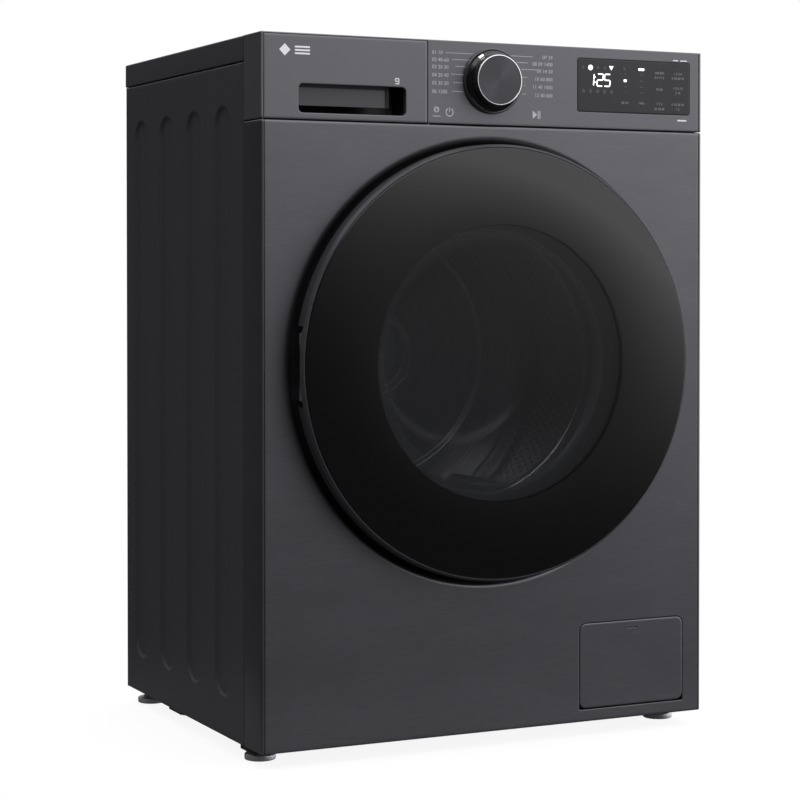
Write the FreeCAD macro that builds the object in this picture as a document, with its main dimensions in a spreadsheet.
import FreeCAD
import Part
import Sketcher
import math
import os
import re

# Front load washing machine, 600 mm wide, 850 mm high, for a 9 kg load.
#
# Frame: +Z up, the door faces -Y, the origin is on the floor under the middle of the machine.
# "Depth" means the distance behind the flat front face of the cabinet.
# A negative depth stands proud of that face.
# Every driving size is a cell of the sheet, and the objects read their sizes from it by expressions.

SIZES = [
    # cabinet
    ("width", 600, "over the side panels"),
    ("height", 850, "floor to worktop"),
    ("body_depth", 475, "front face to rear panel"),
    ("lid_overhang", 12.5, "worktop behind the rear panel"),
    ("door_proud", 30, "door face in front of the front face"),
    ("floor_gap", 18, "cabinet above the floor"),
    ("metal", 1.0, "sheet steel"),
    ("flange", 15, "folded edges of the sheets"),
    ("wrap", 53, "front panel along the cabinet sides"),
    ("seam_height", 750, "joint of front panel and control panel"),
    ("gap", 0.5, "between neighbouring covers"),
    ("corner", 4, "rounded cabinet corners"),
    ("lid_height", 30, "worktop thickness"),
    ("moulding", 3, "wall of the moulded covers"),
    ("rib_width", 53, "pressed ribs in the side panels"),
    ("rib_depth", 2.5, "pressed ribs"),
    ("rib_pitch", 98, "pressed ribs"),
    ("rib_first", 122, "depth of the first rib"),
    ("rib_low", 64, "lower end of the ribs"),
    ("rib_high", 773, "upper end of the ribs"),
    # door
    ("axis_height", 465, "door and drum axis above the floor"),
    ("door_radius", 258, "door glass"),
    ("rim_radius", 261.5, "door rim"),
    ("door_back", 4, "depth of the rim's back edge"),
    ("dish_radius", 275, "dished ring in the front panel"),
    ("dish_floor", 263, "outer radius of the dish floor"),
    ("dish_depth", 13, "dish floor behind the front face"),
    ("mouth_radius", 196, "loading hole in the front panel"),
    ("bowl_radius", 152, "door bowl at its flange"),
    ("bowl_flange", 173, "door bowl flange"),
    ("bowl_reach", 110, "depth of the bowl's nose"),
    ("glass", 4.5, "door cover and bowl thickness"),
    ("hinge_left", 250, "hinge pin left of the middle"),
    ("hinge_proud", 14, "hinge pin in front of the front face"),
    ("hinge_half", 45, "half of the hinge bracket's height"),
    ("pin_radius", 4, "hinge pin"),
    ("hook_right", 220, "latch hook right of the middle"),
    # controls
    ("drawer_edge", 87, "right edge of the drawer front, left of the middle"),
    ("grip_left", 252.6, "drawer grip, left edge"),
    ("grip_right", 115.2, "drawer grip, right edge"),
    ("grip_low", 758.3, "drawer grip"),
    ("grip_high", 791.6, "drawer grip"),
    ("grip_depth", 45, "drawer grip"),
    ("tray_left", 261, "drawer tray"),
    ("tray_right", 96, "drawer tray"),
    ("tray_low", 757, "drawer tray"),
    ("tray_high", 815, "drawer tray"),
    ("tray_end", 318, "rear end of the drawer tray"),
    ("housing_end", 345, "rear end of the dispenser housing"),
    ("dial_height", 803.5, "dial axis"),
    ("dial_radius", 31, "dial"),
    ("dial_proud", 20, "dial face in front of the control panel"),
    ("bezel_radius", 39.3, "ring around the dial"),
    ("bezel_proud", 4, "ring around the dial"),
    ("display_left", 118.8, "display window"),
    ("display_right", 281.8, "display window"),
    ("display_low", 771, "display window"),
    ("display_high", 836.5, "display window"),
    # tub and drum
    ("tub_radius", 272, "outer tub"),
    ("tub_wall", 3.5, "outer tub"),
    ("tub_lip", 44, "depth of the tub's mouth"),
    ("tub_face", 58, "depth of the tub's front wall"),
    ("tub_joint", 226, "depth of the joint of the two tub halves"),
    ("tub_back", 388, "depth of the tub's rear wall"),
    ("tub_mouth", 178, "mouth radius"),
    ("tub_flange", 11, "height of the joint flange"),
    ("drum_radius", 246, "drum"),
    ("drum_skin", 1.0, "drum sheet"),
    ("drum_face", 72, "depth of the drum's front wall"),
    ("drum_back", 350, "depth of the drum's rear wall"),
    ("drum_mouth", 170, "drum mouth radius"),
    ("lifter_height", 58, "drum lifters"),
    ("lifter_base", 66, "drum lifters"),
    ("boss_radius", 46, "bearing boss of the tub"),
    ("seat_front", 31, "front bearing, outside radius"),
    ("seat_rear", 26, "rear bearing, outside radius"),
    ("shaft_front", 15, "shaft in the front bearing"),
    ("shaft_rear", 12.5, "shaft in the rear bearing"),
    ("stator_radius", 118, "motor stator"),
    ("rotor_radius", 134, "motor rotor"),
    # suspension
    ("hanger", 282, "springs from the middle"),
    ("sway", 200, "depth of springs and dampers"),
    ("spring_low", 600, "springs"),
    ("spring_high", 812, "springs"),
    ("damper_foot", 235, "damper's lower pin from the middle"),
    ("damper_foot_height", 48, "damper's lower pin"),
    ("damper_head", 160, "damper's upper pin from the middle"),
    ("damper_head_height", 230, "damper's upper pin"),
    ("damper_pin", 5, "damper pins"),
    # base, pump and feet
    ("foot_side", 276, "feet from the middle"),
    ("foot_front", 63, "depth of the front feet"),
    ("foot_rear", 445, "depth of the rear feet"),
    ("foot_radius", 18.5, "foot disc"),
    ("stud_radius", 6, "foot stud"),
    ("base_low", 19.5, "base frame"),
    ("base_high", 31.5, "base frame"),
    ("hatch_left", 123.2, "filter cover"),
    ("hatch_right", 272.6, "filter cover"),
    ("hatch_low", 34.8, "filter cover"),
    ("hatch_high", 139.4, "filter cover"),
    ("hatch_corner", 9, "filter cover"),
    ("pump_side", 200, "pump axis right of the middle"),
    ("pump_height", 86, "pump axis"),
    ("filter_bore", 26, "filter chamber"),
    # water and mains
    ("inlet_height", 792, "water inlets"),
    ("inlet_left", 215, "outer inlet left of the middle"),
    ("inlet_pitch", 65, "between the two inlets"),
    ("inlet_radius", 13.2, "three quarter inch thread"),
    ("outlet_side", 255, "drain outlet right of the middle"),
    ("outlet_height", 700, "drain outlet"),
    ("outlet_radius", 10.5, "drain outlet spigot"),
    ("hose_radius", 11, "hoses"),
    ("cord_side", 250, "mains cord gland left of the middle"),
    ("cord_height", 735, "mains cord gland"),
    ("cord_radius", 4.3, "hole for the mains cord"),
]
NAMES = {name for name, _, _ in SIZES}
FRONT = "(door_proud - body_depth - lid_overhang)/2"
AXES = {"X": FreeCAD.Vector(1, 0, 0), "Y": FreeCAD.Vector(0, 1, 0), "Z": FreeCAD.Vector(0, 0, 1)}
# Turns a primitive that is made along Z so that it lies along the named axis.
ALONG = {
    "X": FreeCAD.Rotation(AXES["Y"], 90),
    "Y": FreeCAD.Rotation(AXES["X"], -90),
    "Z": FreeCAD.Rotation(),
}
ORDER = {"X": "xyz", "Y": "yxz", "Z": "zxy"}

doc = FreeCAD.newDocument("washing_machine")
sheet = doc.addObject("Spreadsheet::Sheet", "size")
kept = []


def fill_sheet():
    """One row for each driving size: its note, and its value under its alias."""
    for row, (name, size, note) in enumerate(SIZES, 1):
        sheet.set(f"A{row}", f"{name}: {note}")
        sheet.set(f"B{row}", str(size))
        sheet.setAlias(f"B{row}", name)
    doc.recompute()


def cell(expression):
    """The expression with each size's name pointing at its cell."""
    return re.sub(
        r"[a-z][a-z_]*",
        lambda found: "size." + found.group(0) if found.group(0) in NAMES else found.group(0),
        str(expression),
    )


def number(expression):
    """What an expression comes to, in millimetres."""
    return float(sheet.evalExpression(cell(expression)))


def deep(expression):
    """The Y of a place that lies that far behind the front face."""
    return f"({FRONT} + ({expression}))"


def bind(item, **properties):
    for name, expression in properties.items():
        item.setExpression(name.replace("_", "."), cell(expression))


def keep(item, label):
    """Marks an object as a finished piece of the machine."""
    item.Label = label
    kept.append(item)
    return item


# ---------------------------------------------------------------- primitives and booleans


def box(name, x, y, z):
    """A block between the low and high expression of each axis."""
    item = doc.addObject("Part::Box", name)
    bind(item, Placement_Base_x=x[0], Placement_Base_y=y[0], Placement_Base_z=z[0])
    bind(item, Length=f"({x[1]}) - ({x[0]})", Width=f"({y[1]}) - ({y[0]})", Height=f"({z[1]}) - ({z[0]})")
    return item


def round_bar(name, axis, span, centre, radius):
    """A cylinder along an axis. centre is its place on the other two axes, in X, Y, Z order."""
    item = doc.addObject("Part::Cylinder", name)
    item.Placement = FreeCAD.Placement(FreeCAD.Vector(), ALONG[axis])
    along, first, second = ORDER[axis]
    places = {along: span[0], first: centre[0], second: centre[1]}
    bind(item, **{f"Placement_Base_{letter}": place for letter, place in places.items()})
    bind(item, Radius=radius, Height=f"({span[1]}) - ({span[0]})")
    return item


def fuse(name, items):
    item = doc.addObject("Part::MultiFuse", name)
    item.Shapes = items
    item.Refine = True
    return item


def cut(name, base, tools):
    item = doc.addObject("Part::Cut", name)
    item.Base = base
    item.Tool = tools[0] if len(tools) == 1 else fuse(name + "_tools", tools)
    item.Refine = True
    return item


def group(name, items):
    """Separate solids that are one kind of piece."""
    item = doc.addObject("Part::Compound", name)
    item.Links = items
    return item


def tube(name, axis, span, centre, radius, bore, run_out=0):
    """A hollow cylinder. The bore runs past both ends by run_out."""
    wall = round_bar(name + "_wall", axis, span, centre, radius)
    through = (f"({span[0]}) - {run_out}", f"({span[1]}) + {run_out}")
    return cut(name, wall, [round_bar(name + "_bore", axis, through, centre, bore)])


def mirrored(name, source):
    item = doc.addObject("Part::Mirroring", name)
    item.Source = source
    item.Normal = AXES["X"]
    return item


def rounded(name, base, radius, wanted):
    """Fillets the straight edges of base that wanted(direction, middle) picks."""
    doc.recompute()
    item = doc.addObject("Part::Fillet", name)
    item.Base = base
    edges = []
    for index, edge in enumerate(base.Shape.Edges, 1):
        if edge.Curve.TypeId != "Part::GeomLine":
            continue
        direction = (edge.Vertexes[-1].Point - edge.Vertexes[0].Point).normalize()
        if wanted(direction, edge.CenterOfMass):
            edges.append((index, number(radius), number(radius)))
    item.Edges = edges
    base.Visibility = False
    return item


def runs(axis):
    """Picks every edge along an axis."""
    return lambda direction, middle: abs(direction.dot(AXES[axis])) > 0.99


def plate(name, x, y, z, radius):
    """A flat plate that faces Y, with rounded corners."""
    return rounded(name, box(name + "_blank", x, y, z), radius, runs("Y"))


def upright_slot(name, x, centre, z, radius):
    """A slot with round ends that stands upright in a side panel."""
    low, high = f"({z[0]}) + ({radius})", f"({z[1]}) - ({radius})"
    sides = (f"({centre}) - ({radius})", f"({centre}) + ({radius})")
    return fuse(
        name,
        [
            box(name + "_middle", x, sides, (low, high)),
            round_bar(name + "_low", "X", x, (centre, low), radius),
            round_bar(name + "_high", "X", x, (centre, high), radius),
        ],
    )


# ---------------------------------------------------------------- sketched bodies


def sketch_outline(body, name, outline, plane="XY_Plane"):
    """A closed outline of straight runs whose corners are held at two expressions each."""
    doc.recompute()
    support = next(o for o in body.Origin.OriginFeatures if o.Role == plane)
    sketch = body.newObject("Sketcher::SketchObject", name)
    sketch.AttachmentSupport = [(support, "")]
    sketch.MapMode = "FlatFace"
    places = [FreeCAD.Vector(number(a), number(b), 0) for a, b in outline]
    count = len(places)
    for index in range(count):
        sketch.addGeometry(Part.LineSegment(places[index], places[(index + 1) % count]))
    for index in range(count):
        sketch.addConstraint(Sketcher.Constraint("Coincident", index, 2, (index + 1) % count, 1))
    for index, (place, corner) in enumerate(zip(places, outline)):
        for kind, size, expression in (("DistanceX", place.x, corner[0]), ("DistanceY", place.y, corner[1])):
            rule = sketch.addConstraint(Sketcher.Constraint(kind, -1, 1, index, 1, size))
            sketch.setExpression(f"Constraints[{rule}]", cell(expression))
    return sketch


def turned(name, outline, centre=("0", "axis_height"), along="Y"):
    """A body turned about the axis, from an outline of (radius, place along the axis) corners."""
    body = doc.addObject("PartDesign::Body", name)
    sketch = sketch_outline(body, name + "_section", outline)
    turn = body.newObject("PartDesign::Revolution", name + "_turn")
    turn.Profile = sketch
    turn.ReferenceAxis = (sketch, ["V_Axis"])
    turn.Angle = 360
    body.Tip = turn
    if along == "Z":
        body.Placement = FreeCAD.Placement(FreeCAD.Vector(), FreeCAD.Rotation(AXES["X"], 90))
        bind(body, Placement_Base_x=centre[0], Placement_Base_y=centre[1])
    else:
        bind(body, Placement_Base_x=centre[0], Placement_Base_z=centre[1])
    return body


def padded(name, outline, span, centre=("0", "0")):
    """A body padded along Y between two places, from an outline of (x, z) corners."""
    body = doc.addObject("PartDesign::Body", name)
    sketch = sketch_outline(body, name + "_section", [(x, z) for x, z in outline], "XZ_Plane")
    pad = body.newObject("PartDesign::Pad", name + "_pad")
    pad.Profile = sketch
    bind(pad, Length=f"({span[1]}) - ({span[0]})")
    pad.Reversed = True
    body.Tip = pad
    bind(body, Placement_Base_x=centre[0], Placement_Base_y=span[0], Placement_Base_z=centre[1])
    return body


def swept(label, corners, radius, bend, bore=None):
    """A hose along straight runs that are joined by tangent arcs. corners are in millimetres."""
    points = [FreeCAD.Vector(*(number(part) for part in corner)) for corner in corners]
    edges, start = [], points[0]
    for before, corner, after in zip(points, points[1:], points[2:]):
        back, on = (before - corner).normalize(), (after - corner).normalize()
        half_turn = (math.pi - back.getAngle(on)) / 2
        trim = bend * math.tan(half_turn)
        first, last = corner + back * trim, corner + on * trim
        middle = corner + (back + on).normalize() * (bend / math.cos(half_turn) - bend)
        edges.append(Part.LineSegment(start, first).toShape())
        edges.append(Part.Arc(first, middle, last).toShape())
        start = last
    edges.append(Part.LineSegment(start, points[-1]).toShape())
    path = Part.Wire(edges)

    def solid(size):
        ring = Part.Wire(Part.makeCircle(size, points[0], points[1] - points[0]))
        return path.makePipeShell([ring], True, True)

    shape = solid(radius) if bore is None else solid(radius).cut(solid(bore))
    item = doc.addObject("Part::Feature", label)
    item.Shape = shape
    return item


# ---------------------------------------------------------------- cabinet


def side_panels():
    """Pressed steel sides with folded edges, four upright ribs and a bracket for the spring."""
    outer_face, inner_edge = "-width/2", "flange - width/2"
    depths = (deep("wrap + gap"), deep("body_depth - metal"))
    heights = ("floor_gap", "height - lid_height")
    pan = cut(
        "side_pan",
        box("side_blank", (outer_face, inner_edge), depths, heights),
        [
            box(
                "side_hollow",
                ("metal - width/2", "flange + 1 - width/2"),
                (deep("wrap + gap + metal"), deep("body_depth - 2*metal")),
                ("floor_gap + metal", "height - lid_height - metal"),
            )
        ],
    )
    backs, pockets = [], []
    for index in range(4):
        centre = deep(f"rib_first + {index}*rib_pitch")
        span = ("rib_low", "rib_high")
        wide = ("rib_low - metal", "rib_high + metal")
        back = (outer_face, "metal + rib_depth - width/2")
        front = ("-1 - width/2", "rib_depth - width/2")
        backs.append(upright_slot(f"rib_back_{index}", back, centre, wide, "rib_width/2 + metal"))
        pockets.append(upright_slot(f"rib_pocket_{index}", front, centre, span, "rib_width/2"))
    hanger = box(
        "spring_hanger",
        ("metal - width/2", "12 - hanger"),
        (deep("sway - 9"), deep("sway + 9")),
        ("spring_high + 0.4", "height - lid_height - metal"),
    )
    notches = [
        box(
            f"nut_notch_{index}",
            ("-foot_side - 12", "14 - foot_side"),
            (deep(f"{depth} - 12"), deep(f"{depth} + 12")),
            ("floor_gap - 1", "floor_gap + metal + 0.5"),
        )
        for index, depth in enumerate(("foot_front", "foot_rear"))
    ]
    left = cut("side_left", fuse("side_ribbed", [pan, hanger] + backs), pockets + notches)
    keep(left, "side_panel_left")
    keep(mirrored("side_right", left), "side_panel_right")


def screw_places():
    """Middle of each screw of the service cover: (x, z) expressions."""
    places = []
    for side in ("-", ""):
        for rise in ("-180", "-60", "60", "180"):
            places.append((f"{side}178", f"axis_height + ({rise})"))
    return places


TRANSIT = [(f"{side}232", height) for side in ("-", "") for height in ("330", "610")]


def rear_panels():
    """Rear wall with its service opening, and the pressed cover over it."""
    wall = box(
        "rear_sheet",
        ("0.1 - width/2", "width/2 - 0.1"),
        (deep("body_depth - metal"), deep("body_depth")),
        ("floor_gap", "height - lid_height - 0.5"),
    )
    through = (deep("body_depth - 8"), deep("body_depth + 3"))
    holes = [
        plate("service_hole", ("-165", "165"), through, ("axis_height - 195", "axis_height + 195"), "25")
    ]
    for index, side in enumerate(("inlet_left", "inlet_left - inlet_pitch")):
        holes.append(
            round_bar(
                f"inlet_hole_{index}", "Y", through, (f"-({side})", "inlet_height"), "inlet_radius + 0.4"
            )
        )
    holes.append(
        round_bar("outlet_hole", "Y", through, ("outlet_side", "outlet_height"), "outlet_radius + 0.4")
    )
    holes.append(round_bar("cord_hole", "Y", through, ("-cord_side", "cord_height"), "8.2"))
    for index, place in enumerate(TRANSIT):
        holes.append(round_bar(f"transit_hole_{index}", "Y", through, place, "12.2"))
    for index, place in enumerate(screw_places()):
        holes.append(round_bar(f"cover_hole_{index}", "Y", through, place, "2.1"))
    keep(cut("rear_wall", wall, holes), "rear_panel")

    rim = plate(
        "service_rim",
        ("-188", "188"),
        (deep("body_depth"), deep("body_depth + metal")),
        ("axis_height - 208", "axis_height + 208"),
        "28",
    )
    bulge = plate(
        "service_bulge",
        ("-160", "160"),
        (deep("body_depth"), deep("body_depth + 9")),
        ("axis_height - 190", "axis_height + 190"),
        "24",
    )
    hollow = plate(
        "service_hollow",
        ("-159", "159"),
        (deep("body_depth - 1"), deep("body_depth + 9 - metal")),
        ("axis_height - 189", "axis_height + 189"),
        "23",
    )
    screws = []
    for index, place in enumerate(screw_places()):
        screws.append(round_bar(f"service_screw_hole_{index}", "Y", through, place, "2.1"))
    cover = cut("service_cover", fuse("service_pressing", [rim, bulge]), [hollow] + screws)
    keep(cover, "rear_service_cover")

    pieces = []
    for index, place in enumerate(screw_places()):
        head = round_bar(
            f"screw_head_{index}", "Y", (deep("body_depth + metal"), deep("body_depth + 3")), place, "4.2"
        )
        shank = round_bar(
            f"screw_shank_{index}", "Y", (deep("body_depth - 7"), deep("body_depth + 2")), place, "1.9"
        )
        pieces.append(fuse(f"cover_screw_{index}", [head, shank]))
    keep(group("cover_screws", pieces), "cabinet_screws")

    caps = []
    for index, place in enumerate(TRANSIT):
        head = round_bar(
            f"cap_head_{index}", "Y", (deep("body_depth"), deep("body_depth + 2.5")), place, "16"
        )
        stem = tube(
            f"cap_stem_{index}", "Y", (deep("body_depth - 9"), deep("body_depth")), place, "12", "10"
        )
        caps.append(fuse(f"transit_cap_{index}", [head, stem]))
    keep(group("caps", caps), "transit_caps")


def front_panel():
    """Brushed front sheet with its folded sides, the dished ring round the door and the filter hatch."""
    top = "seam_height - gap"
    blank = box("front_blank", ("-width/2", "width/2"), (deep("0"), deep("wrap")), ("floor_gap", top))
    edges = rounded(
        "front_rounded",
        blank,
        "corner",
        lambda direction, middle: abs(direction.z) > 0.99 and middle.y < number(deep("1")),
    )
    inner = rounded(
        "front_inner",
        box(
            "front_hollow",
            ("metal - width/2", "width/2 - metal"),
            (deep("metal"), deep("wrap + 1")),
            ("floor_gap + metal", "seam_height - gap - metal"),
        ),
        "corner - metal",
        lambda direction, middle: abs(direction.z) > 0.99 and middle.y < number(deep("2")),
    )
    rear_clear = box(
        "front_rear_clear",
        ("flange - width/2", "width/2 - flange"),
        (deep("flange"), deep("wrap + 1")),
        ("floor_gap - 1", "seam_height"),
    )
    shell = cut("front_shell", edges, [inner, rear_clear])
    disc = round_bar("dish_hole", "Y", (deep("-5"), deep("20")), ("0", "axis_height"), "dish_radius")
    hatch = plate(
        "hatch_hole",
        ("hatch_left - 0.6", "hatch_right + 0.6"),
        (deep("-5"), deep("20")),
        ("hatch_low - 1.4", "hatch_high + 0.6"),
        "hatch_corner + 0.6",
    )
    dish = turned(
        "dish_ring",
        [
            ("dish_radius", deep("0")),
            ("dish_radius - 3", deep("1.5")),
            ("dish_floor + 4", deep("dish_depth*0.6")),
            ("dish_floor + 1", deep("dish_depth - 1.5")),
            ("dish_floor - 3", deep("dish_depth")),
            ("mouth_radius", deep("dish_depth")),
            ("mouth_radius", deep("dish_depth + 8")),
            ("mouth_radius + metal", deep("dish_depth + 8")),
            ("mouth_radius + metal", deep("dish_depth + metal")),
            ("dish_floor - 2.6", deep("dish_depth + metal")),
            ("dish_floor + 1.9", deep("dish_depth - 0.7")),
            ("dish_floor + 5", deep("dish_depth*0.6 + 0.4")),
            ("dish_radius - 2.2", deep("1.5 + metal*0.7")),
            ("dish_radius", deep("metal")),
        ],
    )
    latch_slot = box(
        "latch_slot", ("hook_right - 9", "hook_right + 11"), (deep("5"), deep("20")), (
            "axis_height - 9", "axis_height + 9"
        )
    )
    hatch_foot = plate(
        "hatch_hole_foot",
        ("hatch_left - 0.6", "hatch_right + 0.6"),
        (deep("-5"), deep("20")),
        ("hatch_low - 1.8", "hatch_low + 16"),
        "1.5",
    )
    open_shell = cut("front_open", shell, [disc, hatch, hatch_foot])
    joined = fuse("front_joined", [open_shell, dish])
    keep(cut("front_sheet", joined, [latch_slot]), "front_panel")


def worktop():
    """Moulded worktop, open underneath, that reaches past the rear panel."""
    blank = box(
        "lid_blank",
        ("-width/2", "width/2"),
        (deep("wrap + gap"), deep("body_depth + lid_overhang")),
        ("height - lid_height", "height"),
    )
    rear = number(deep("body_depth + lid_overhang - 1"))
    smooth = rounded(
        "lid_rounded",
        blank,
        "moulding",
        lambda direction, middle: middle.z > number("height - 1")
        and (abs(direction.y) > 0.99 or middle.y > rear)
        or (abs(direction.z) > 0.99 and middle.y > rear),
    )
    hollow = box(
        "lid_hollow",
        ("moulding - width/2", "width/2 - moulding"),
        (deep("wrap + gap + moulding"), deep("body_depth + lid_overhang - moulding")),
        ("height - lid_height - 1", "height - moulding"),
    )
    passage = box(
        "lid_passage",
        ("-tray_left - 8", "8 - tray_right"),
        (deep("wrap"), deep("wrap + gap + moulding + 1")),
        ("height - lid_height - 1", "height - 9.5"),
    )
    keep(cut("lid", smooth, [hollow, passage]), "top_lid")


def control_panel():
    """Moulded fascia with the drawer opening, the display opening and the dial hole."""
    low = "seam_height + gap"
    blank = box("fascia_blank", ("-width/2", "width/2"), (deep("0"), deep("wrap")), (low, "height"))
    front = number(deep("1"))
    smooth = rounded(
        "fascia_rounded",
        blank,
        "corner",
        lambda direction, middle: (abs(direction.z) > 0.99 and middle.y < front)
        or (abs(direction.y) > 0.99 and middle.z > number("height - 1")),
    )
    hollow = box(
        "fascia_hollow",
        ("moulding - width/2", "width/2 - moulding"),
        (deep("moulding"), deep("wrap + 1")),
        ("seam_height - 1", "height - moulding"),
    )
    drawer = box(
        "drawer_opening",
        ("moulding - width/2 - 0.4", "gap - drawer_edge"),
        (deep("-5"), deep("moulding + 2")),
        ("seam_height", "height - 1.6"),
    )
    window = plate(
        "display_opening",
        ("display_left - 0.3", "display_right + 0.3"),
        (deep("-5"), deep("moulding + 2")),
        ("display_low - 0.3", "display_high + 0.3"),
        "3.3",
    )
    spindle = round_bar("dial_hole", "Y", (deep("-5"), deep("moulding + 2")), ("0", "dial_height"), "9")
    keep(cut("fascia", smooth, [hollow, drawer, window, spindle]), "control_panel")

    keep(
        plate(
            "window",
            ("display_left", "display_right"),
            (deep("0.2"), deep("2.6")),
            ("display_low", "display_high"),
            "3",
        ),
        "display_window",
    )
    keep(
        turned(
            "bezel",
            [
                ("8.5", deep("0")),
                ("bezel_radius", deep("0")),
                ("bezel_radius", deep("1.5 - bezel_proud")),
                ("bezel_radius - 1.5", deep("-bezel_proud")),
                ("bezel_radius - 5", deep("0.6 - bezel_proud")),
                ("dial_radius - 4", deep("-1.5")),
                ("8.5", deep("-1.5")),
            ],
            ("0", "dial_height"),
        ),
        "dial_bezel",
    )
    board = box("board_sheet", ("-62", "288"), (deep("18"), deep("19.6")), ("766", "843"))
    encoder = box(
        "encoder", ("-7", "7"), (deep("11"), deep("18")), ("dial_height - 7", "dial_height + 7")
    )
    screen = box(
        "screen",
        ("display_left + 6", "display_left + 66"),
        (deep("6"), deep("18")),
        ("display_low + 18", "display_high - 8"),
    )
    socket = box("board_socket", ("20", "60"), (deep("19.6"), deep("30")), ("800", "812"))
    spindle_hole = round_bar("encoder_hole", "Y", (deep("5"), deep("25")), ("0", "dial_height"), "3.1")
    keep(cut("board", fuse("board_built", [board, encoder, screen, socket]), [spindle_hole]), "display_board")


def dial():
    """Hollow knob on its spindle."""
    knob = turned(
        "knob",
        [
            ("0", deep("-dial_proud")),
            ("dial_radius - 1.2", deep("-dial_proud")),
            ("dial_radius", deep("1.2 - dial_proud")),
            ("dial_radius + 1.5", deep("-bezel_proud - 2.3")),
            ("dial_radius + 5", deep("-bezel_proud - 2.3")),
            ("dial_radius + 5", deep("-bezel_proud - 0.8")),
            ("dial_radius - 1.5", deep("-bezel_proud - 0.8")),
            ("dial_radius - 3", deep("3 - dial_proud")),
            ("6", deep("3 - dial_proud")),
            ("6", deep("-2")),
            ("3", deep("-2")),
            ("3", deep("16")),
            ("0", deep("16")),
        ],
        ("0", "dial_height"),
    )
    keep(knob, "dial_knob")


# ---------------------------------------------------------------- detergent drawer and water inlet


def detergent_drawer():
    """Drawer front with its grip, and the three part tray behind it."""
    face = box(
        "drawer_face",
        ("0.3 + moulding - width/2", "-drawer_edge"),
        (deep("0"), deep("moulding")),
        ("seam_height + gap", "height - 2"),
    )
    skirt = box(
        "drawer_skirt_blank",
        ("5 + moulding - width/2", "-drawer_edge - 3"),
        (deep("moulding"), deep("14")),
        ("seam_height + gap + 3", "height - 8"),
    )
    skirt_hollow = box(
        "drawer_skirt_hollow",
        ("7 + moulding - width/2", "-drawer_edge - 5"),
        (deep("moulding"), deep("15")),
        ("seam_height + gap + 5", "height - 10"),
    )
    frame = cut("drawer_skirt", skirt, [skirt_hollow])
    cup = box(
        "grip_cup",
        ("-grip_left - 2", "2 - grip_right"),
        (deep("moulding"), deep("grip_depth + 2")),
        ("grip_low - 1.8", "grip_high + 2"),
    )
    hollow = plate(
        "grip_hollow",
        ("-grip_left", "-grip_right"),
        (deep("-1"), deep("grip_depth")),
        ("grip_low", "grip_high"),
        "3.5",
    )
    pull = box(
        "grip_bar",
        ("-grip_left", "-grip_right"),
        (deep("grip_depth - 14"), deep("grip_depth")),
        ("grip_low + 13", "grip_high"),
    )
    shell = cut("drawer_open", fuse("drawer_solid", [face, frame, cup]), [hollow])
    keep(fuse("drawer_face_done", [shell, pull]), "drawer_front")

    tray = box(
        "tray_blank", ("-tray_left", "-tray_right"), (
            deep("grip_depth + 2"), deep("tray_end")
        ), ("tray_low", "tray_high")
    )
    bays = [
        box(
            "wash_bay",
            ("2 - tray_left", "-183"),
            (deep("grip_depth + 4"), deep("tray_end - 2")),
            ("tray_low + 2", "tray_high + 1"),
        ),
        box(
            "softener_bay",
            ("-181", "-tray_right - 2"),
            (deep("grip_depth + 4"), deep("170")),
            ("tray_low + 2", "tray_high + 1"),
        ),
        box(
            "prewash_bay",
            ("-181", "-tray_right - 2"),
            (deep("172"), deep("tray_end - 2")),
            ("tray_low + 2", "tray_high + 1"),
        ),
    ]
    drain = box(
        "tray_drain",
        ("-250", "-195"),
        (deep("tray_end - 3"), deep("tray_end + 1")),
        ("tray_low + 2", "tray_low + 20"),
    )
    siphon = tube("siphon", "Z", ("tray_low + 2", "tray_high - 16"), ("-138", deep("112")), "9", "6")
    keep(fuse("tray_done", [cut("tray", tray, bays + [drain]), siphon]), "drawer_tray")


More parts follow.
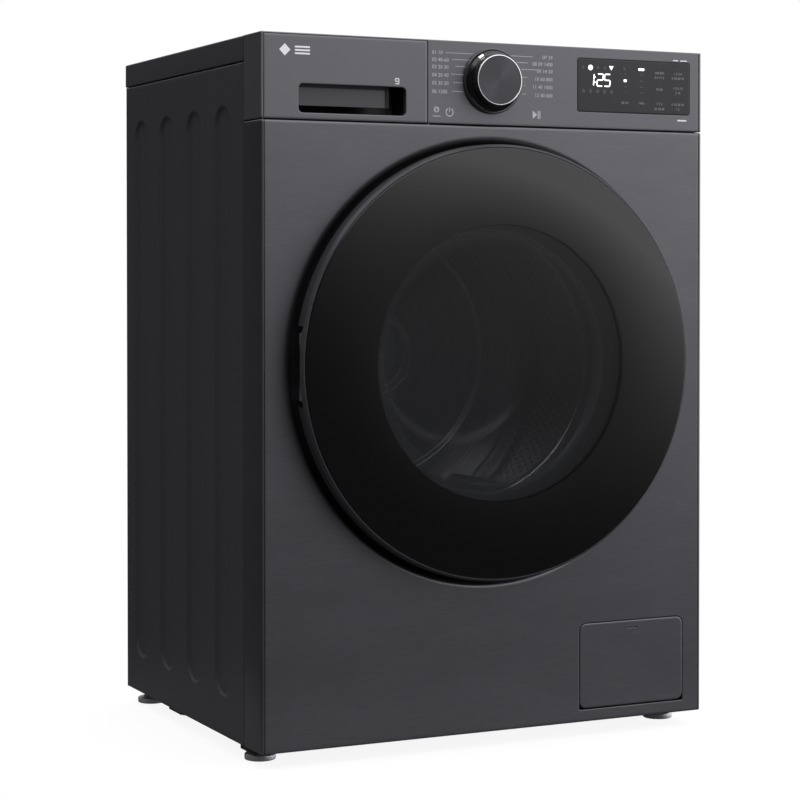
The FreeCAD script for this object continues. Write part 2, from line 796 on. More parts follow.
def dispenser():
    """Box that the tray slides in, with a spout for the fill hose, and the water valve behind it."""
    outer = box("housing_blank", ("-266", "-91"), (deep("20"), deep("housing_end")), ("753", "838"))
    inner = box(
        "housing_hollow", ("-263.5", "-93.5"), (deep("19"), deep("housing_end - 2.5")), ("755.5", "835.5")
    )
    spout = round_bar("housing_spout", "Z", ("732", "754"), ("-200", deep("housing_end - 20")), "14")
    bore = round_bar("housing_spout_bore", "Z", ("731", "757"), ("-200", deep("housing_end - 20")), "11")
    keep(cut("housing", fuse("housing_solid", [outer, spout]), [inner, bore]), "dispenser_housing")

    pieces, bores = [], []
    for index, side in enumerate(("inlet_left", "inlet_left - inlet_pitch")):
        place = (f"-({side})", "inlet_height")
        pieces.append(
            round_bar(
                f"inlet_neck_{index}", "Y", (deep("440"), deep("body_depth + 1")), place, "inlet_radius - 0.3"
            )
        )
        pieces.append(
            round_bar(
                f"inlet_thread_{index}", "Y", (
                    deep("body_depth + 0.5"), deep("body_depth + 12")
                ), place, "inlet_radius"
            )
        )
        pieces.append(
            round_bar(
                f"inlet_collar_{index}", "Y", (deep("466"), deep("body_depth - metal - 0.1")), place, "20"
            )
        )
        pieces.append(
            box(
                f"inlet_coil_{index}",
                (f"-({side}) - 15", f"15 - ({side})"),
                (deep("395"), deep("442")),
                ("inlet_height - 18", "inlet_height + 18"),
            )
        )
        bores.append(
            round_bar(f"inlet_bore_{index}", "Y", (deep("450"), deep("body_depth + 13")), place, "9")
        )
    bridge = box(
        "inlet_bridge",
        ("-inlet_left", "inlet_pitch - inlet_left"),
        (deep("400"), deep("425")),
        ("inlet_height - 12", "inlet_height + 6"),
    )
    nozzle = round_bar(
        "inlet_nozzle", "Y", (deep("housing_end + 0.3"), deep("401")), ("-182", "inlet_height - 3"), "9"
    )
    keep(cut("valve", fuse("valve_solid", pieces + [bridge, nozzle]), bores), "inlet_valve")

    case = box("case_blank", ("112", "268"), (deep("130"), deep("400")), ("768", "812"))
    case_hollow = box("case_hollow", ("114", "266"), (deep("132"), deep("398")), ("767", "810"))
    board = box("case_board", ("116", "264"), (deep("134"), deep("396")), ("770", "772"))
    filter_coil = box("case_coil", ("130", "165"), (deep("150"), deep("190")), ("772", "800"))
    sink = box("case_sink", ("200", "256"), (deep("240"), deep("330")), ("772", "795"))
    posts = box("case_post", ("130", "140"), (deep("200"), deep("210")), ("772", "811"))
    shell = cut("case_shell", case, [case_hollow])
    keep(fuse("case", [shell, board, filter_coil, sink, posts]), "main_board_case")


# ---------------------------------------------------------------- tub, drum and motor


def tub():
    """Moulded outer tub in two halves, with the lugs for springs and dampers."""
    front = turned(
        "tub_front_turned",
        [
            ("tub_mouth", deep("tub_lip")),
            ("tub_mouth + 5", deep("tub_lip")),
            ("tub_mouth + 5", deep("tub_face")),
            ("tub_radius - 14", deep("tub_face + 2")),
            ("tub_radius", deep("tub_face + 16")),
            ("tub_radius", deep("tub_joint - 8")),
            ("tub_radius + tub_flange", deep("tub_joint - 8")),
            ("tub_radius + tub_flange", deep("tub_joint")),
            ("tub_radius - tub_wall", deep("tub_joint")),
            ("tub_radius - tub_wall", deep("tub_face + 18")),
            ("tub_radius - 16", deep("tub_face + 2 + tub_wall")),
            ("tub_mouth", deep("tub_face + tub_wall")),
        ],
    )
    lugs = []
    for index, side in enumerate(("-", "")):
        reach = ("-hanger - 8", "-228") if side else ("228", "hanger + 8")
        lugs.append(
            box(
                f"spring_lug_{index}",
                reach,
                (deep("sway - 7"), deep("sway + 7")),
                ("spring_low - 12", "spring_low - 0.4"),
            )
        )
        middle = f"{side}damper_head"
        for end, near in enumerate(("sway - 13", "sway + 7.5")):
            lugs.append(
                box(
                    f"damper_ear_{index}_{end}",
                    (f"{middle} - 11", f"{middle} + 11"),
                    (deep(near), deep(f"{near} + 5.5")),
                    ("damper_head_height - 9", "damper_head_height + 26"),
                )
            )
        lugs.append(
            round_bar(
                f"damper_head_pin_{index}",
                "Y",
                (deep("sway - 13"), deep("sway + 13")),
                (middle, "damper_head_height"),
                "damper_pin",
            )
        )
    sump = round_bar("sump_spout", "Z", ("178", "200"), ("70", deep("150")), "19")
    sump_bore = round_bar("sump_bore", "Z", ("170", "215"), ("70", deep("150")), "15")
    filler = round_bar("filler_spout", "Z", ("638", "668"), ("-200", deep("200")), "14")
    filler_bore = round_bar("filler_bore", "Z", ("630", "670"), ("-200", deep("200")), "11")
    inside = round_bar(
        "tub_front_inside", "Y", (
            deep("tub_face + 10"), deep("tub_joint + 1")
        ), ("0", "axis_height"), "tub_radius - tub_wall"
    )
    bare_lugs = cut("tub_lugs", fuse("tub_lug_set", lugs + [sump, filler]), [inside])
    keep(
        cut("tub_front_half", fuse("tub_front_solid", [front, bare_lugs]), [sump_bore, filler_bore]),
        "tub_front",
    )

    rear = turned(
        "tub_rear_half",
        [
            ("tub_radius - tub_wall", deep("tub_joint + 0.1")),
            ("tub_radius + tub_flange", deep("tub_joint + 0.1")),
            ("tub_radius + tub_flange", deep("tub_joint + 8")),
            ("tub_radius", deep("tub_joint + 8")),
            ("tub_radius", deep("tub_back - 12")),
            ("tub_radius - 12", deep("tub_back")),
            ("boss_radius", deep("tub_back")),
            ("boss_radius - 4", deep("422")),
            ("seat_rear", deep("422")),
            ("seat_rear", deep("406")),
            ("seat_rear - 6", deep("406")),
            ("seat_rear - 6", deep("394")),
            ("seat_front", deep("394")),
            ("seat_front", deep("370")),
            ("boss_radius - 8", deep("370")),
            ("boss_radius", deep("tub_back - 4")),
            ("tub_radius - 14", deep("tub_back - 4")),
            ("tub_radius - tub_wall", deep("tub_back - 14")),
        ],
    )
    keep(rear, "tub_rear")


def ring_segment(name, inner, outer, depths, low, high):
    """Part of a flat ring between two angles, in degrees from the right hand side."""
    steps = 10
    sweep = [math.radians(low + (high - low) * step / steps) for step in range(steps + 1)]
    outline = [(f"({outer})*{math.cos(a):.5f}", f"({outer})*{math.sin(a):.5f}") for a in sweep]
    outline += [(f"({inner})*{math.cos(a):.5f}", f"({inner})*{math.sin(a):.5f}") for a in reversed(sweep)]
    return padded(name, outline, depths, ("0", "axis_height"))


def tub_fittings():
    """Concrete weights, heater, bearings and stator that are bolted to the tub."""
    depths = (deep("26"), deep("tub_face - 0.5"))
    keep(
        ring_segment("weight_top", "tub_mouth + 24", "tub_radius - 6", depths, 35, 145), "counterweight_upper"
    )
    keep(
        ring_segment("weight_bottom", "tub_mouth + 24", "tub_radius - 6", depths, 205, 335),
        "counterweight_lower",
    )

    rods = [
        round_bar(
            f"heater_rod_{index}", "Y", (deep("115"), deep("330")), (side, "axis_height - 257.5"), "3.2"
        )
        for index, side in enumerate(("-22", "-6"))
    ]
    bend = box(
        "heater_bend", ("-22", "-6"), (deep("327"), deep("333")), (
            "axis_height - 260.5", "axis_height - 254.5"
        )
    )
    flange = box(
        "heater_flange", ("-28", "0"), (deep("108"), deep("115")), ("axis_height - 263", "axis_height - 252")
    )
    keep(fuse("heating_element", rods + [bend, flange]), "heater")

    front = tube(
        "bearing_front", "Y", (
            deep("378"), deep("393.9")
        ), ("0", "axis_height"), "seat_front - 0.02", "shaft_front + 0.03"
    )
    seal = tube(
        "shaft_seal", "Y", (
            deep("371"), deep("377.8")
        ), ("0", "axis_height"), "seat_front - 0.02", "shaft_front + 0.05"
    )
    rear = tube(
        "bearing_rear", "Y", (
            deep("406.1"), deep("421")
        ), ("0", "axis_height"), "seat_rear - 0.02", "shaft_rear + 0.03"
    )
    keep(group("bearings", [front, seal, rear]), "tub_bearings")

    ring = tube(
        "stator_ring", "Y", (deep("tub_back + 4"), deep("tub_back + 28")), ("0", "axis_height"), "88", "72"
    )
    body = doc.addObject("PartDesign::Body", "stator_teeth")
    tooth = sketch_outline(
        body,
        "tooth_section",
        [
            ("87", "-3.5"),
            ("stator_radius - 4", "-3.5"),
            ("stator_radius - 4", "-7.5"),
            ("stator_radius", "-7.5"),
            ("stator_radius", "7.5"),
            ("stator_radius - 4", "7.5"),
            ("stator_radius - 4", "3.5"),
            ("87", "3.5"),
        ],
        "XZ_Plane",
    )
    pad = body.newObject("PartDesign::Pad", "tooth_pad")
    pad.Profile = tooth
    bind(pad, Length="24")
    pad.Reversed = True
    pattern = body.newObject("PartDesign::PolarPattern", "tooth_pattern")
    pattern.Originals = [pad]
    pattern.Axis = (tooth, ["N_Axis"])
    pattern.Angle = 360
    pattern.Occurrences = 36
    body.Tip = pattern
    bind(body, Placement_Base_y=deep("tub_back + 4"), Placement_Base_z="axis_height")
    foot = tube(
        "stator_foot", "Y", (
            deep("tub_back + 0.1"), deep("tub_back + 6")
        ), ("0", "axis_height"), "80", "boss_radius + 1"
    )
    keep(fuse("stator_done", [ring, body, foot]), "stator")


def drum():
    """Steel drum with lifters, the spider behind it, the shaft and the motor's rotor."""
    shell = turned(
        "drum_turned",
        [
            ("drum_mouth", deep("drum_face + 8")),
            ("drum_mouth", deep("drum_face")),
            ("drum_mouth + 4", deep("drum_face - 4")),
            ("drum_radius - 14", deep("drum_face + 4")),
            ("drum_radius", deep("drum_face + 18")),
            ("drum_radius", deep("drum_back")),
            ("drum_radius + 3", deep("drum_back + 1")),
            ("drum_radius + 3", deep("drum_back + 4")),
            ("drum_radius - 4", deep("drum_back + 4")),
            ("drum_radius - 6", deep("drum_back - 8 + drum_skin")),
            ("60", deep("drum_back - 8 + drum_skin")),
            ("40", deep("drum_back - 14 + drum_skin")),
            ("0", deep("drum_back - 14 + drum_skin")),
            ("0", deep("drum_back - 14")),
            ("40.5", deep("drum_back - 14")),
            ("60.5", deep("drum_back - 8")),
            ("drum_radius - 5.4", deep("drum_back - 8")),
            ("drum_radius - 3.4", deep("drum_back + 2.9")),
            ("drum_radius - drum_skin", deep("drum_back + 2.9")),
            ("drum_radius - drum_skin", deep("drum_face + 18.5")),
            ("drum_radius - 14.5", deep("drum_face + 5")),
            ("drum_mouth + 4.4", deep("drum_face - 2.9")),
            ("drum_mouth + 1", deep("drum_face + 0.4")),
            ("drum_mouth + 1", deep("drum_face + 8")),
        ],
    )
    keep(shell, "drum_shell")

    lifters = []
    foot, tip = "drum_radius - drum_skin - 2.8", "drum_radius - lifter_height"
    for index in range(3):
        blade = padded(
            f"lifter_{index}",
            [
                (foot, "-lifter_base/2"),
                (foot, "lifter_base/2"),
                (f"{tip} + 22", "15"),
                (f"{tip} + 3", "9"),
                (tip, "4"),
                (tip, "-4"),
                (f"{tip} + 3", "-9"),
                (f"{tip} + 22", "-15"),
            ],
            (deep("drum_face + 26"), deep("drum_back - 14")),
        )
        doc.recompute()
        turn = FreeCAD.Rotation(AXES["Y"], 30 + 120 * index)
        blade.Placement = FreeCAD.Placement(FreeCAD.Vector(0, blade.Placement.Base.y, 0), turn)
        bind(blade, Placement_Base_z="axis_height", Placement_Base_y=deep("drum_face + 26"))
        lifters.append(blade)
    keep(group("lifters", lifters), "drum_lifters")

    hub = turned(
        "spider_hub",
        [
            ("shaft_front + 0.02", deep("drum_back - 12")),
            ("36", deep("drum_back - 12")),
            ("34", deep("drum_back + 16")),
            ("shaft_front + 0.02", deep("drum_back + 16")),
        ],
    )
    arms = []
    for index in range(3):
        arm = padded(
            f"spider_arm_{index}",
            [("26", "-20"), ("drum_radius - 5", "-12"), ("drum_radius - 5", "12"), ("26", "20")],
            (deep("drum_back + 4.2"), deep("drum_back + 15")),
        )
        doc.recompute()
        turn = FreeCAD.Rotation(AXES["Y"], 90 + 120 * index)
        arm.Placement = FreeCAD.Placement(FreeCAD.Vector(0, arm.Placement.Base.y, 0), turn)
        bind(arm, Placement_Base_z="axis_height", Placement_Base_y=deep("drum_back + 4.2"))
        arms.append(arm)
    bore = round_bar(
        "spider_bore",
        "Y",
        (deep("drum_back - 20"), deep("drum_back + 30")),
        ("0", "axis_height"),
        "shaft_front + 0.02",
    )
    keep(cut("spider", fuse("spider_solid", [hub] + arms), [bore]), "drum_spider")

    keep(
        turned(
            "shaft",
            [
                ("0", deep("drum_back - 11")),
                ("shaft_front", deep("drum_back - 11")),
                ("shaft_front", deep("400")),
                ("shaft_rear", deep("400")),
                ("shaft_rear", deep("448")),
                ("7", deep("448")),
                ("7", deep("456")),
                ("0", deep("456")),
            ],
        ),
        "drum_shaft",
    )
    keep(
        turned(
            "rotor_cup",
            [
                ("shaft_rear + 0.02", deep("427")),
                ("28", deep("427")),
                ("34", deep("434")),
                ("stator_radius + 1.5", deep("434")),
                ("stator_radius + 1.5", deep("tub_back + 6")),
                ("rotor_radius", deep("tub_back + 6")),
                ("rotor_radius", deep("432")),
                ("rotor_radius - 6", deep("440")),
                ("34", deep("440")),
                ("26", deep("446")),
                ("shaft_rear + 0.02", deep("446")),
            ],
        ),
        "rotor",
    )


# ---------------------------------------------------------------- gasket, hoses and suspension


def soft_parts():
    """Door gasket and the hoses between tub and cabinet."""
    keep(
        turned(
            "gasket",
            [
                ("mouth_radius + 1.3", deep("dish_depth + 9")),
                ("mouth_radius + 1.3", deep("dish_depth + 2")),
                ("mouth_radius + 4.5", deep("dish_depth + 2")),
                ("mouth_radius + 4.5", deep("dish_depth + 12")),
                ("mouth_radius - 2", deep("dish_depth + 12")),
                ("mouth_radius - 10", deep("dish_depth + 14")),
                ("mouth_radius - 12", deep("dish_depth + 26")),
                ("tub_mouth + 9", deep("tub_lip - 3")),
                ("tub_mouth + 9", deep("tub_lip + 9")),
                ("tub_mouth + 5.4", deep("tub_lip + 9")),
                ("tub_mouth + 5.4", deep("tub_lip - 0.4")),
                ("tub_mouth - 4", deep("tub_lip - 0.4")),
                ("tub_mouth - 10", deep("tub_lip - 6")),
                ("tub_mouth - 3", deep("tub_lip - 12")),
                ("mouth_radius - 14", deep("dish_depth + 10")),
                ("bowl_radius + 6", deep("dish_depth + 2")),
                ("bowl_radius + 5", deep("dish_depth - 1")),
                ("mouth_radius - 12", deep("dish_depth + 5")),
                ("mouth_radius - 1.2", deep("dish_depth + 2")),
                ("mouth_radius - 1.2", deep("dish_depth + 9")),
            ],
        ),
        "door_gasket",
    )
    fill = swept(
        "fill_hose",
        [
            ("-200", deep("housing_end - 20"), "731.6"),
            ("-200", deep("housing_end - 20"), "700"),
            ("-200", deep("200"), "695"),
            ("-200", deep("200"), "668.4"),
        ],
        13,
        14,
        9.5,
    )
    keep(fill, "fill_hose")
    sump = swept(
        "sump_hose",
        [
            ("70", deep("150"), "177.6"),
            ("70", deep("150"), "130"),
            ("pump_side - 88", deep("66"), "pump_height"),
            ("pump_side - 36", deep("66"), "pump_height"),
        ],
        18,
        24,
        14,
    )
    keep(sump, "sump_hose")


def spring(name, side):
    """Coil spring that hangs upright, closed by a straight tail at each end."""
    low, high = number("spring_low"), number("spring_high")
    radius, wire, pitch, tail = 8.5, 1.6, 4.4, 20
    x, y = number(f"{side}hanger"), number(deep("sway"))
    coil = Part.makeHelix(pitch, high - low - 2 * tail, radius)
    coil.translate(FreeCAD.Vector(x, y, low + tail))
    start = coil.Vertexes[0].Point
    ring = Part.Wire(Part.makeCircle(wire, start, FreeCAD.Vector(0, 1, 0.1)))
    solid = Part.Wire(coil.Edges).makePipeShell([ring], True, True)
    tails = []
    for bottom, top in ((low, low + tail + 1.5), (high - tail - 1.5, high)):
        post = Part.makeCylinder(wire, top - bottom, FreeCAD.Vector(x, y, bottom))
        bridge_z = low + tail if bottom == low else high - tail
        bridge = Part.makeCylinder(wire, radius, FreeCAD.Vector(x, y, bridge_z), FreeCAD.Vector(1, 0, 0))
        tails += [post, bridge]
    item = doc.addObject("Part::Feature", name)
    item.Shape = solid.fuse(tails).removeSplitter()
    return item


def suspension():
    """Two hanging springs, and two friction dampers that lean inwards."""
    keep(group("springs", [spring("spring_left", "-"), spring("spring_right", "")]), "suspension_springs")
    foot = FreeCAD.Vector(number("damper_foot"), 0, number("damper_foot_height"))
    head = FreeCAD.Vector(number("damper_head"), 0, number("damper_head_height"))
    length = (head - foot).Length
    lean = math.degrees(math.atan2(head.x - foot.x, head.z - foot.z))
    for side, sign in (("right", 1), ("left", -1)):
        sleeve = Part.makeCylinder(15, 106, FreeCAD.Vector(0, 0, 18)).cut(
            Part.makeCylinder(11, 100, FreeCAD.Vector(0, 0, 25))
        )
        eye = Part.makeCylinder(11, 11, FreeCAD.Vector(0, -5.5, 0), AXES["Y"])
        neck = Part.makeBox(12, 11, 14, FreeCAD.Vector(-6, -5.5, 5))
        hole = Part.makeCylinder(number("damper_pin") + 0.06, 20, FreeCAD.Vector(0, -10, 0), AXES["Y"])
        tube_shape = sleeve.fuse([eye, neck]).cut(hole)
        rod = Part.makeCylinder(5, length - 50, FreeCAD.Vector(0, 0, 50 - 4))
        piston = Part.makeCylinder(10.6, 14, FreeCAD.Vector(0, 0, 44))
        top_eye = Part.makeCylinder(10, 11, FreeCAD.Vector(0, -5.5, length), AXES["Y"])
        top_hole = Part.makeCylinder(
            number("damper_pin") + 0.9, 20, FreeCAD.Vector(0, -10, length), AXES["Y"]
        )
        rod_shape = rod.fuse([piston, top_eye]).cut(top_hole)
        place = FreeCAD.Placement(
            FreeCAD.Vector(sign * foot.x, number(deep("sway")), foot.z),
            FreeCAD.Rotation(AXES["Y"], sign * lean),
        )
        for label, shape in ((f"damper_tube_{side}", tube_shape), (f"damper_rod_{side}", rod_shape)):
            item = doc.addObject("Part::Feature", label)
            item.Shape = shape
            item.Placement = place
            keep(item, label)


# ---------------------------------------------------------------- door


def door():
    """Flat cover glass in a rim, the back frame, the glass bowl, the hinge and the latch."""
    keep(
        turned(
            "cover_glass",
            [
                ("0", deep("-door_proud")),
                ("door_radius - 2", deep("-door_proud")),
                ("door_radius - 0.5", deep("1.5 - door_proud")),
                ("door_radius - 0.5", deep("glass - door_proud")),
                ("0", deep("glass - door_proud")),
            ],
        ),
        "door_glass",
    )
    rim = turned(
        "rim",
        [
            ("bowl_flange - 8", deep("glass + 0.2 - door_proud")),
            ("door_radius - 0.2", deep("glass + 0.2 - door_proud")),
            ("door_radius - 0.2", deep("1.2 - door_proud")),
            ("door_radius + 1", deep("1 - door_proud")),
            ("rim_radius", deep("5 - door_proud")),
            ("rim_radius", deep("-10")),
            ("rim_radius - 5", deep("door_back")),
            ("rim_radius - 7.5", deep("door_back")),
            ("rim_radius - 4", deep("-10")),
            ("rim_radius - 4", deep("glass + 2.4 - door_proud")),
            ("bowl_flange - 8", deep("glass + 2.4 - door_proud")),
        ],
    )
    hinge_notch = box(
        "rim_notch",
        ("-rim_radius - 5", "12 - hinge_left"),
        (deep("-hinge_proud - 8.5"), deep("20")),
        ("axis_height - hinge_half - 2", "axis_height + hinge_half + 2"),
    )
    keep(cut("rim_done", rim, [hinge_notch]), "door_outer_frame")

    back = turned(
        "back_ring",
        [
            ("bowl_flange + 3", deep("-19")),
            ("bowl_flange + 6", deep("-19")),
            ("bowl_flange + 6", deep("1")),
            ("rim_radius - 8.5", deep("1")),
            ("rim_radius - 8.5", deep("door_back")),
            ("bowl_flange + 4", deep("door_back + 3.5")),
            ("bowl_radius + 8", deep("door_back + 3.5")),
            ("bowl_radius + 8", deep("door_back")),
            ("bowl_flange + 3", deep("door_back")),
        ],
    )
    hinge_cut = box(
        "back_notch",
        ("-rim_radius - 5", "16 - hinge_left"),
        (deep("-23"), deep("20")),
        ("axis_height - hinge_half - 2", "axis_height + hinge_half + 2"),
    )
    grip_cut = box(
        "back_grip", ("rim_radius - 26", "rim_radius + 1"), (deep("-23"), deep("20")), (
            "axis_height - 45", "axis_height + 45"
        )
    )
    hook_cut = box(
        "back_hook", ("hook_right - 7", "hook_right + 9"), (deep("-5"), deep("20")), (
            "axis_height - 7", "axis_height + 7"
        )
    )
    pocket = cut(
        "grip_pocket",
        box(
            "grip_pocket_blank",
            ("rim_radius - 28", "rim_radius - 8.2"),
            (deep("-20"), deep("door_back")),
            ("axis_height - 47", "axis_height + 47"),
        ),
        [
            box(
                "grip_pocket_hollow",
                ("rim_radius - 26", "rim_radius"),
                (deep("-18"), deep("door_back + 1")),
                ("axis_height - 45", "axis_height + 45"),
            ),
            tube(
                "grip_pocket_outside",
                "Y",
                (deep("-30"), deep("20")),
                ("0", "axis_height"),
                "rim_radius + 40",
                "rim_radius - 8.5",
            ),
        ],
    )
    frame = fuse("back_frame", [cut("back_open", back, [hinge_cut, grip_cut, hook_cut]), pocket])
    hook_pin = round_bar(
        "hook_pin", "Z", ("axis_height - 10", "axis_height + 10"), ("hook_right", deep("-1.5")), "2"
    )
    posts = [
        box(
            f"hook_post_{index}",
            ("hook_right - 5", "hook_right + 5"),
            (deep("-6"), deep("1.5")),
            (f"axis_height {low}", f"axis_height {high}"),
        )
        for index, (low, high) in enumerate((("- 12", "- 7.2"), ("+ 7.2", "+ 12")))
    ]
    keep(fuse("back_done", [frame, hook_pin] + posts), "door_inner_frame")

    keep(
        turned(
            "bowl",
            [
                ("0", deep("bowl_reach")),
                ("bowl_radius - 46", deep("bowl_reach - 3")),
                ("bowl_radius - 26", deep("bowl_reach - 16")),
                ("bowl_radius - 13", deep("bowl_reach - 44")),
                ("bowl_radius - 2", deep("6")),
                ("bowl_radius", deep("-0.4")),
                ("bowl_flange", deep("-0.4")),
                ("bowl_flange", deep("-5")),
                ("bowl_radius - 6", deep("-5")),
                ("bowl_radius - 7.5", deep("8")),
                ("bowl_radius - 17.5", deep("bowl_reach - 46")),
                ("bowl_radius - 30", deep("bowl_reach - 19")),
                ("bowl_radius - 48", deep("bowl_reach - 7.5")),
                ("0", deep("bowl_reach - 4.5")),
            ],
        ),
        "door_bowl",
    )

    barrel = tube(
        "hinge_barrel",
        "Z",
        ("axis_height - 24.6", "axis_height + 24.6"),
        ("-hinge_left", deep("-hinge_proud")),
        "7",
        "pin_radius + 0.05",
    )
    leaf = box(
        "hinge_leaf",
        ("3 - hinge_left", "-188"),
        (deep("-hinge_proud - 2.5"), deep("-hinge_proud + 1")),
        ("axis_height - 24", "axis_height + 24"),
    )
    leaf_foot = box(
        "hinge_leaf_foot",
        ("-216", "-196"),
        (deep("-hinge_proud"), deep("1")),
        ("axis_height - 20", "axis_height + 20"),
    )
    leaf_bore = round_bar(
        "leaf_bore", "Z", (
            "axis_height - 30", "axis_height + 30"
        ), ("-hinge_left", deep("-hinge_proud")), "pin_radius + 0.05"
    )
    keep(cut("hinge_arm", fuse("hinge_arm_solid", [barrel, leaf, leaf_foot]), [leaf_bore]), "door_hinge_arm")

    knuckles = []
    for index, (low, high) in enumerate((("- hinge_half + 6", "- 25"), ("+ 25", "+ hinge_half - 6"))):
        heights = (f"axis_height {low}", f"axis_height {high}")
        knuckles.append(
            round_bar(f"knuckle_{index}", "Z", heights, ("-hinge_left", deep("-hinge_proud")), "7.5")
        )
        knuckles.append(
            box(
                f"knuckle_arm_{index}",
                ("6 - hinge_left", "13 - hinge_left"),
                (deep("-hinge_proud - 4"), deep("dish_depth - 2")),
                heights,
            )
        )
    foot_plate = box(
        "hinge_plate",
        ("6 - hinge_left", "-200"),
        (deep("dish_depth - 2.5"), deep("dish_depth - 0.1")),
        ("axis_height - hinge_half + 3", "axis_height + hinge_half - 3"),
    )
    pin = round_bar(
        "hinge_pin",
        "Z",
        ("axis_height - hinge_half + 4", "axis_height + hinge_half - 4"),
        ("-hinge_left", deep("-hinge_proud")),
        "pin_radius",
    )
    keep(fuse("hinge_fixed", knuckles + [foot_plate, pin]), "hinge_bracket")

    hook_eye = tube(
        "hook_eye", "Z", ("axis_height - 6", "axis_height + 6"), ("hook_right", deep("-1.5")), "5", "2.06"
    )
    hook_shank = box(
        "hook_shank", (
            "hook_right - 2.5", "hook_right + 2.5"
        ), (deep("2"), deep("34")), ("axis_height - 5", "axis_height + 5")
    )
    hook_barb = box(
        "hook_barb", (
            "hook_right - 2.5", "hook_right + 5"
        ), (deep("28"), deep("34")), ("axis_height - 5", "axis_height + 5")
    )
    hook_bore = round_bar(
        "hook_bore", "Z", ("axis_height - 9", "axis_height + 9"), ("hook_right", deep("-1.5")), "2.06"
    )
    keep(cut("hook", fuse("hook_solid", [hook_eye, hook_shank, hook_barb]), [hook_bore]), "door_hook")

    lock = box(
        "lock_blank",
        ("hook_right - 16", "hook_right + 34"),
        (deep("dish_depth + metal + 0.1"), deep("52")),
        ("axis_height - 22", "axis_height + 22"),
    )
    lock_well = box(
        "lock_well",
        ("hook_right - 10", "hook_right + 13"),
        (deep("dish_depth"), deep("42")),
        ("axis_height - 9", "axis_height + 9"),
    )
    lock_bolt = box(
        "lock_bolt", ("hook_right + 18", "hook_right + 30"), (deep("22"), deep("26")), (
            "axis_height - 16", "axis_height + 16"
        )
    )
    keep(cut("lock", lock, [lock_well, lock_bolt]), "door_lock")


# ---------------------------------------------------------------- base, pump and feet


def base():
    """Base frame with the damper brackets, the four feet and their lock nuts."""
    outer = box(
        "base_blank", (
            "flange + gap - width/2", "width/2 - flange - gap"
        ), (deep("flange + 3"), deep("body_depth - 3")), ("base_low", "base_high")
    )
    opening = box(
        "base_opening", ("-220", "220"), (deep("96"), deep("412")), ("base_low - 1", "base_high + 1")
    )
    brackets, holes = [], []
    for index, side in enumerate(("-", "")):
        middle = f"{side}damper_foot"
        for end, near in enumerate(("sway - 12.5", "sway + 7")):
            brackets.append(
                box(
                    f"damper_bracket_{index}_{end}",
                    (f"{middle} - 11", f"{middle} + 11"),
                    (deep(near), deep(f"{near} + 5.5")),
                    ("base_high - 2", "damper_foot_height + 9"),
                )
            )
        brackets.append(
            round_bar(
                f"damper_foot_pin_{index}",
                "Y",
                (deep("sway - 12.5"), deep("sway + 12.5")),
                (middle, "damper_foot_height"),
                "damper_pin",
            )
        )
    feet = [(side, depth) for side in ("-", "") for depth in ("foot_front", "foot_rear")]
    for index, (side, depth) in enumerate(feet):
        holes.append(
            round_bar(
                f"stud_hole_{index}", "Z", (
                    "base_low - 1", "base_high + 1"
                ), (f"{side}foot_side", deep(depth)), "stud_radius + 0.4"
            )
        )
    keep(cut("base", fuse("base_solid", [outer] + brackets), [opening] + holes), "base_frame")

    nuts = []
    for index, (side, depth) in enumerate(feet):
        place = (f"{side}foot_side", deep(depth))
        blank = turned(
            f"nut_turned_{index}",
            [("stud_radius + 0.1", "14"), ("10.5", "14"), ("10.5", "19.3"), ("stud_radius + 0.1", "19.3")],
            place,
            "Z",
        )
        nuts.append(blank)
    keep(group("nuts", nuts), "foot_locknuts")

    corners = {
        "left_front": ("-", "foot_front"),
        "left_rear": ("-", "foot_rear"),
        "right_front": ("", "foot_front"),
        "right_rear": ("", "foot_rear"),
    }
    for corner, (side, depth) in corners.items():
        foot = turned(
            f"foot_turned_{corner}",
            [
                ("0", "0"),
                ("foot_radius - 1.5", "0"),
                ("foot_radius", "1.5"),
                ("foot_radius", "6"),
                ("foot_radius - 2", "7.5"),
                ("11", "8.5"),
                ("9.5", "13.5"),
                ("stud_radius", "13.5"),
                ("stud_radius", "46"),
                ("stud_radius - 1", "47"),
                ("0", "47"),
            ],
            (f"{side}foot_side", deep(depth)),
            "Z",
        )
        keep(foot, f"foot_{corner}")


